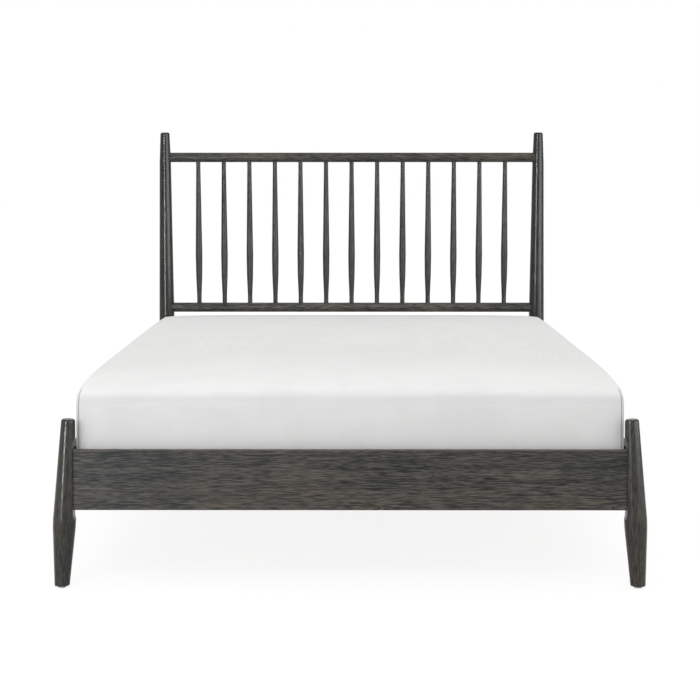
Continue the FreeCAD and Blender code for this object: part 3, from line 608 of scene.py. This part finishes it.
def side_rows():
    """Rows up the sides: height, inset of the long sides and of the ends, and lean from upright to level."""
    rows = []
    for share in HEM_SHARES:
        draw = HEM_DRAW * (1.0 - share) ** HEM_POWER
        rows.append((HEM_RISE * share, draw, draw, 0.0))
    for rise in FLAT_RISES:
        rows.append((rise, 0.0, 0.0, 0.0))
    upper = THICKNESS - CROWN
    for step in range(SHOULDER_STEPS + 1):
        turn = math.pi / 2 * step / SHOULDER_STEPS
        rise = upper - SHOULDER * (1.0 - math.sin(turn))
        reach = max(rise - (upper - END_DROP), 0.0) / END_DROP
        end = END_SHOULDER * (1.0 - math.sqrt(max(1.0 - reach ** END_POWER, 0.0)))
        lean = 1.0 - math.cos(turn)
        rows.append((rise, SIDE_SHOULDER * lean, end, lean))
    return rows


def side_rings():
    """Outlines up the sides: drawn in at the hem, full at the middle, rounded over at the shoulder."""
    shoulder_start = THICKNESS - CROWN - SHOULDER
    rings = []
    for rise, side, end, lean in side_rows():
        sinking = max(rise - shoulder_start, 0.0) / SHOULDER
        ring = []
        for p in outline(HALF_X - side, HALF_Y - end):
            near = max(1.0 - (p.y + HALF_Y) / CORNER_RUN, 0.0)
            draw = (CORNER_DRAW + CORNER_LEAN * lean) * min(near, 1.0) ** CORNER_POWER
            p.x -= math.copysign(draw, p.x) * min(abs(p.x) / CORNER_START, 1.0) ** CORNER_SHARPNESS
            lowered = sink(p.x, p.y + MIDDLE_Y) * sinking
            ring.append(Vector((p.x, p.y + MIDDLE_Y, BOTTOM + rise - lowered)))
        rings.append(ring)
    return rings


def patch(ring, crowned):
    """A grid of points with the ring as its border, flat or crowned as the top of the mattress."""
    low = [ring[i] for i in range(ACROSS + 1)]
    right = [ring[ACROSS + i] for i in range(DEEP + 1)]
    high = [ring[ACROSS + DEEP + i] for i in range(ACROSS + 1)][::-1]
    left = [ring[(2 * ACROSS + DEEP + i) % len(ring)] for i in range(DEEP + 1)][::-1]
    grid = []
    for j in range(DEEP + 1):
        v = j / DEEP
        row = []
        for i in range(ACROSS + 1):
            u = i / ACROSS
            corners = (low[0] * (1 - u) * (1 - v) + low[-1] * u * (1 - v)
                       + high[0] * (1 - u) * v + high[-1] * u * v)
            p = low[i] * (1 - v) + high[i] * v + left[j] * (1 - u) + right[j] * u - corners
            if crowned and 0 < i < ACROSS and 0 < j < DEEP:
                edge = min(p.x - left[j].x, right[j].x - p.x, p.y - low[i].y, high[i].y - p.y)
                p.z = TOP - CROWN + crown(max(edge, 0.0)) - sink(p.x, p.y) + belly(p.x, p.y)
            row.append(p)
        grid.append(row)
    return grid


def border_place(i, j):
    """The place in its ring of a border point of a grid, or None for a point inside the grid."""
    if j == 0:
        return i
    if i == ACROSS:
        return ACROSS + j
    if j == DEEP:
        return ACROSS + DEEP + (ACROSS - i)
    if i == 0:
        return (2 * ACROSS + DEEP + (DEEP - j)) % RING
    return None


def closed_form(rings, top, bottom=None):
    """Mesh data of stacked rings closed by a grid above and, if given, one below."""
    verts, faces = [], []
    levels = []
    for ring in rings:
        levels.append(range(len(verts), len(verts) + RING))
        verts.extend(ring)
    for low, high in zip(levels, levels[1:]):
        for i in range(RING):
            j = (i + 1) % RING
            faces.append((low[i], low[j], high[j], high[i]))
    for grid, border, up in ((top, levels[-1], True), (bottom, levels[0], False)):
        if grid is None:
            continue
        table = {}
        for j in range(DEEP + 1):
            for i in range(ACROSS + 1):
                place = border_place(i, j)
                if place is not None:
                    table[i, j] = border[place]
                else:
                    table[i, j] = len(verts)
                    verts.append(grid[j][i])
        for j in range(DEEP):
            for i in range(ACROSS):
                quad = (table[i, j], table[i + 1, j], table[i + 1, j + 1], table[i, j + 1])
                faces.append(quad if up else quad[::-1])
    return verts, faces


def mesh_object(name, verts, faces, shader):
    mesh = bpy.data.meshes.new(name)
    mesh.from_pydata([tuple(v) for v in verts], [], faces)
    mesh.validate()
    mesh.update()
    for polygon in mesh.polygons:
        polygon.use_smooth = True
    mesh.materials.append(shader.material)
    made = bpy.data.objects.new(name, mesh)
    bpy.context.scene.collection.objects.link(made)
    return made


def add_cloth(pad):
    """Cloth under inner pressure, pulled back to its first shape where the group "held" is strong."""
    cloth = pad.modifiers.new("cloth", "CLOTH")
    settings = cloth.settings
    settings.quality = CLOTH_QUALITY
    settings.mass = CLOTH_MASS
    settings.tension_stiffness = TENSION
    settings.compression_stiffness = TENSION
    settings.shear_stiffness = SHEAR
    settings.bending_stiffness = BENDING
    settings.vertex_group_mass = "held"
    settings.use_pressure = True
    settings.uniform_pressure_force = PRESSURE
    settings.effector_weights.gravity = 0.0
    cloth.collision_settings.use_collision = False
    cloth.collision_settings.use_self_collision = False
    cloth.point_cache.frame_start = 1
    cloth.point_cache.frame_end = FRAMES


def swell(rings, top, bottom):
    """Moves the given points by a cloth simulation under inner pressure, with hem and underside held."""
    verts, faces = closed_form(rings, top, bottom)
    mesh = bpy.data.meshes.new("swelling")
    mesh.from_pydata([tuple(v) for v in verts], [], faces)
    mesh.update()
    pad = bpy.data.objects.new("swelling", mesh)
    scene = bpy.context.scene
    scene.collection.objects.link(pad)
    held = pad.vertex_groups.new(name="held")
    free = [eased((place.z - BOTTOM - HELD_LOW) / (HELD_HIGH - HELD_LOW)) for place in verts]
    for index, share in enumerate(free):
        held.add([index], max(1.0 - share, HOLD), "REPLACE")
    add_cloth(pad)
    for number in range(1, FRAMES + 1):
        scene.frame_set(number)
    swollen = pad.evaluated_get(bpy.context.evaluated_depsgraph_get()).to_mesh()
    normals = [v.normal.copy() for v in mesh.vertices]
    moves = []
    for index, place in enumerate(verts):
        move = swollen.vertices[index].co - place
        moves.append(move * (CAP / max(CAP, move.length)))

    # The top's mean rise is taken off again, so that only its unevenness stays
    level = [move.z for move, normal in zip(moves, normals) if normal.z > LEVEL_NORMAL]
    rise = sum(level) / len(level)
    for place, move, normal, share in zip(verts, moves, normals, free):
        place += move * share
        place.z -= rise * share * max(normal.z, 0.0)
    scene.frame_set(1)
    bpy.data.objects.remove(pad)
    bpy.data.meshes.remove(mesh)
    for number, ring in enumerate(rings):
        ring[:] = verts[number * RING:(number + 1) * RING]
    inner = iter(verts[len(rings) * RING:])
    for grid in (top, bottom):
        for row in grid[1:-1]:
            for i in range(1, len(row) - 1):
                row[i] = next(inner)


def make_mattress():
    """The padded mattress. Its rings and its top are given back, since the sheet lies on them."""
    rings = side_rings()
    top = patch(rings[-1], crowned=True)
    bottom = patch(rings[0], crowned=False)
    swell(rings, top, bottom)
    verts, faces = closed_form(rings, top, bottom)
    ticking = woven("mattress_ticking", TICKING_COLOUR, pitch=0.0022, roughness=0.82,
                    relief=0.00018, sheen=0.10)
    piece = mesh_object("mattress_pad", verts, faces, ticking)
    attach(piece, "mattress")
    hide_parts("mattress")
    return rings, top


# The sheet: how far it is tucked under, in shares of the tuck, its lift off the mattress and its thickness

TUCK = 0.110
TUCK_SHARES = (1.0, 0.97, 0.8, 0.6, 0.4, 0.2)
SHEET_LIFT, SHEET_THICKNESS = 0.00065, 0.0006
SHEET_PITCH, SHEET_ROUGHNESS = 0.0013, 0.86

# Folds of the sides and pulls of the top: how far they stand off, in metres
FOLD_STAND, FOLD_HEIGHT, FINE_HEIGHT = 0.0016, 0.0011, 0.0005
PULL_STAND, PULL_HEIGHT = 0.0007, 0.0007
FOLD_DRIFT, FOLD_FADE, SIDE_NORMAL = 1.5, 0.75, 0.7

# Their noises: periods per metre round the mattress, row in which the noise is read, periods up the side
SLOW, FOLD, FINE = (5.0, 3.1, 0.8), (17.0, 7.7, 0.7), (38.0, 1.9, 1.1)
PULL_SCALE_X, PULL_SCALE_Y, PULL_ROW = 3.1, 2.2, 0.4


def ripple(around, rise, kind, drift=0.0):
    scale, row, upward = kind
    return noise.noise(Vector((around * scale + drift, row, rise * upward)))


def wrinkles(place, normal):
    """How far the cotton stands off the mattress: upright folds on the sides, soft pulls on the top."""
    rise = (place.z - BOTTOM) / THICKNESS
    side = 1.0 - min(abs(normal.z) / SIDE_NORMAL, 1.0)
    around = place.x if abs(normal.y) > abs(normal.x) else place.y
    fold = ripple(around, rise, FOLD, FOLD_DRIFT * ripple(around, rise, SLOW))
    fine = ripple(around, rise, FINE)
    upright = (FOLD_HEIGHT * fold + FINE_HEIGHT * fine + FOLD_STAND) * side * (1.0 - FOLD_FADE * rise)
    pulled = noise.noise(Vector((place.x * PULL_SCALE_X, place.y * PULL_SCALE_Y, PULL_ROW)))
    pull = PULL_HEIGHT * pulled + PULL_STAND
    return max(upright + pull * (1.0 - side), 0.0)


def make_sheet(rings, top):
    """The fitted sheet: over the top, down the sides and tucked under, as one closed thin skin."""
    tucked = []
    for share in TUCK_SHARES:
        draw = HEM_DRAW + (TUCK - HEM_DRAW) * share
        ring = outline(HALF_X - draw, HALF_Y - draw)
        tucked.append([Vector((p.x, p.y + MIDDLE_Y, BOTTOM)) for p in ring])
    verts, faces = closed_form(tucked + rings, top)
    cotton = woven("sheet_cotton", SHEET_COLOUR, pitch=SHEET_PITCH, roughness=SHEET_ROUGHNESS,
                   relief=0.00012, sheen=0.12)
    piece = mesh_object("cotton_sheet", verts, faces, cotton)
    mesh = piece.data
    normals = [v.normal.copy() for v in mesh.vertices]
    underside = BOTTOM - SHEET_LIFT
    for vertex, normal in zip(mesh.vertices, normals):
        if vertex.index < len(tucked) * RING:
            vertex.co.z = underside
        else:
            vertex.co += normal * (SHEET_LIFT + wrinkles(vertex.co, normal))
            vertex.co.z = max(vertex.co.z, underside)
    thick = piece.modifiers.new("cloth_thickness", "SOLIDIFY")
    thick.thickness = SHEET_THICKNESS
    thick.offset = 0.0
    thick.use_even_offset = False
    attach(piece, "mattress")
    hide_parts("fitted_sheet")
    return piece


# The corner seams: places round the ring, rings left free above, and the bead's section as offset and lift

SEAM_PLACES = (3, ACROSS - 3, ACROSS + DEEP - 2, 2 * ACROSS + DEEP + 2)
SEAM_STOP = 5
SEAM_PROFILE = ((-0.0016, -0.0003), (-0.0009, 0.0005), (0.0, 0.0008), (0.0009, 0.0005), (0.0016, -0.0003))
SEAM_LIFT = 0.0002
SEAM_TAPER, SEAM_END = 2.0, 0.15


def make_corner_seams(mesh, first, count):
    """The sewn seam up each corner of the sheet, where the corner's square was cut out and joined. Its bead
    is coloured dark as a painted shadow of the seam's groove.
    """
    verts, faces = [], []
    for column in SEAM_PLACES:
        path = [mesh.vertices[(first + level) * RING + column] for level in range(1, count - SEAM_STOP)]
        last = len(path) - 1
        base = len(verts)
        for number, vertex in enumerate(path):
            ahead = path[min(number + 1, last)].co - path[max(number - 1, 0)].co
            side = ahead.normalized().cross(vertex.normal).normalized()
            taper = min(1.0, (last - number) / SEAM_TAPER + SEAM_END)
            for offset, lift in SEAM_PROFILE:
                verts.append(vertex.co + side * offset * taper + vertex.normal * (lift * taper + SEAM_LIFT))
        width = len(SEAM_PROFILE)
        for number in range(last):
            for i in range(width - 1):
                a = base + number * width + i
                faces.append((a, a + 1, a + 1 + width, a + width))
    # The bead's dark colour is a painted shadow of the seam's groove
    cotton = woven("seam_cotton_painted_shadow", SEAM_PAINTED_SHADOW_COLOUR, pitch=SHEET_PITCH, roughness=SHEET_ROUGHNESS,
                   relief=0.00020, sheen=0.0)
    piece = mesh_object("corner_seams", verts, faces, cotton)
    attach(piece, "mattress")
    return piece


# Studio: strengths, sizes in metres, angles in degrees

WHITE = (1.0, 1.0, 1.0, 1.0)
SKY, SKY_COLOUR = 0.845, (1.0, 0.995, 0.985, 1.0)
FLOOR_HALF = 40.0
FLOOR_TONE, FLOOR_GLOW, FLOOR_SHADOW = 0.60, 0.88, 0.16
KEY_LIGHT, KEY_ANGLE, KEY_RISE, KEY_TURN = 0.165, 26.0, 49.0, -6.0
COOL, PLAIN = (0.86, 0.94, 1.0), (1.0, 1.0, 1.0)


def node_with(tree, kind, **values):
    """A node of one kind with the named inputs set."""
    node = tree.nodes.new(kind)
    for name, value in values.items():
        node.inputs[name].default_value = value
    return node


def seen_directly(tree):
    """1 for camera, glossy and transmission rays, which see the plain white background."""
    ray = tree.nodes.new("ShaderNodeLightPath")
    result = ray.outputs["Is Camera Ray"]
    for kind in ("Is Glossy Ray", "Is Transmission Ray"):
        either = tree.nodes.new("ShaderNodeMath")
        either.operation = "MAXIMUM"
        tree.links.new(result, either.inputs[0])
        tree.links.new(ray.outputs[kind], either.inputs[1])
        result = either.outputs[0]
    return result


def join(tree, kind, first, second):
    """A mix or add shader of two shaders, which are its last two inputs."""
    node = tree.nodes.new(kind)
    tree.links.new(first.outputs[0], node.inputs[-2])
    tree.links.new(second.outputs[0], node.inputs[-1])
    return node


def by_ray(tree, lighting, seen, output):
    """Gives one shader to the rays that light the scene and another to those that see it directly."""
    mix = join(tree, "ShaderNodeMixShader", lighting, seen)
    tree.links.new(seen_directly(tree), mix.inputs[0])
    tree.links.new(mix.outputs[0], tree.nodes.new(output).inputs["Surface"])


def make_world(scene):
    """White background, and a soft sky that lights the bed."""
    world = bpy.data.worlds.new("studio")
    scene.world = world
    world.use_nodes = True
    tree = world.node_tree
    tree.nodes.clear()
    soft = node_with(tree, "ShaderNodeBackground", Color=SKY_COLOUR, Strength=SKY)
    white = node_with(tree, "ShaderNodeBackground", Color=WHITE, Strength=1.0)
    by_ray(tree, soft, white, "ShaderNodeOutputWorld")


def make_floor(scene):
    """A pale floor that keeps a faint shadow."""
    mesh = bpy.data.meshes.new("floor")
    corners = [(x * FLOOR_HALF, y * FLOOR_HALF, 0.0) for x, y in ((-1, -1), (1, -1), (1, 1), (-1, 1))]
    mesh.from_pydata(corners, [], [(0, 1, 2, 3)])
    floor = bpy.data.objects.new("floor", mesh)
    scene.collection.objects.link(floor)
    pale = bpy.data.materials.new("pale_floor")
    pale.use_nodes = True
    tree = pale.node_tree
    tree.nodes.clear()
    plain = node_with(tree, "ShaderNodeBsdfDiffuse", Color=(*even(FLOOR_TONE), 1.0))
    glow = node_with(tree, "ShaderNodeEmission", Color=WHITE, Strength=FLOOR_GLOW)
    shadow = node_with(tree, "ShaderNodeBsdfDiffuse", Color=(*even(FLOOR_SHADOW), 1.0))
    by_ray(tree, plain, join(tree, "ShaderNodeAddShader", glow, shadow), "ShaderNodeOutputMaterial")
    mesh.materials.append(pale)


def place_light(scene, data, facing, place=(0.0, 0.0, 0.0)):
    lamp = bpy.data.objects.new(data.name, data)
    scene.collection.objects.link(lamp)
    lamp.location = place
    lamp.rotation_mode = "QUATERNION"
    lamp.rotation_quaternion = Vector(facing).to_track_quat("Z", "Y")
    return lamp


def make_key(scene):
    """The soft key light from above and in front."""
    data = bpy.data.lights.new("soft_key", "SUN")
    data.energy = KEY_LIGHT * math.pi
    data.angle = math.radians(KEY_ANGLE)
    rise, turn = math.radians(KEY_RISE), math.radians(KEY_TURN)
    facing = (math.sin(turn) * math.cos(rise), -math.cos(turn) * math.cos(rise), math.sin(rise))
    place_light(scene, data, facing)


def make_area(scene, name, watts, wide, tall, place, facing, spread=180.0, gloss_only=False):
    """A rectangular light, either a plain one or a cool one that shows in glossy surfaces only."""
    data = bpy.data.lights.new(name, "AREA")
    data.shape = "RECTANGLE"
    data.size = wide
    data.size_y = tall
    data.energy = watts
    data.spread = math.radians(spread)
    data.color = COOL if gloss_only else PLAIN
    lamp = place_light(scene, data, facing, place)
    lamp.visible_camera = False
    lamp.visible_diffuse = not gloss_only
    lamp.visible_glossy = gloss_only


def studio():
    """Plain white surroundings with soft light, and lights that draw the sheen of the turned posts."""
    scene = bpy.context.scene
    scene.view_settings.view_transform = "Standard"
    make_world(scene)
    make_floor(scene)
    make_key(scene)
    make_area(scene, "tall_strip", watts=400.0, wide=0.30, tall=2.58, place=(-2.15, -3.8, 1.3),
              facing=(-1.95, -2.9, 0.0), gloss_only=True)
    make_area(scene, "side_panel", watts=980.0, wide=7.0, tall=3.2, place=(5.5, -4.0, 1.62),
              facing=(6.3, -2.96, 0.0), gloss_only=True)
    make_area(scene, "foot_softbox", watts=0.22, wide=2.0, tall=0.3, place=(-0.20, -0.94, 1.50),
              facing=(0.0, 0.0, 1.0), spread=42.0)
    make_area(scene, "left_fill", watts=4.0, wide=0.9, tall=0.9, place=(-1.5, -2.5, 1.0),
              facing=(-0.9, -1.5, 0.55))


photo_camera()
studio()
dress_boards()
dress_turnings()
dress_platform()
dress_hardware()
side_form, top_form = make_mattress()
sheet = make_sheet(side_form, top_form)
seams = make_corner_seams(sheet.data, len(TUCK_SHARES), len(side_form))
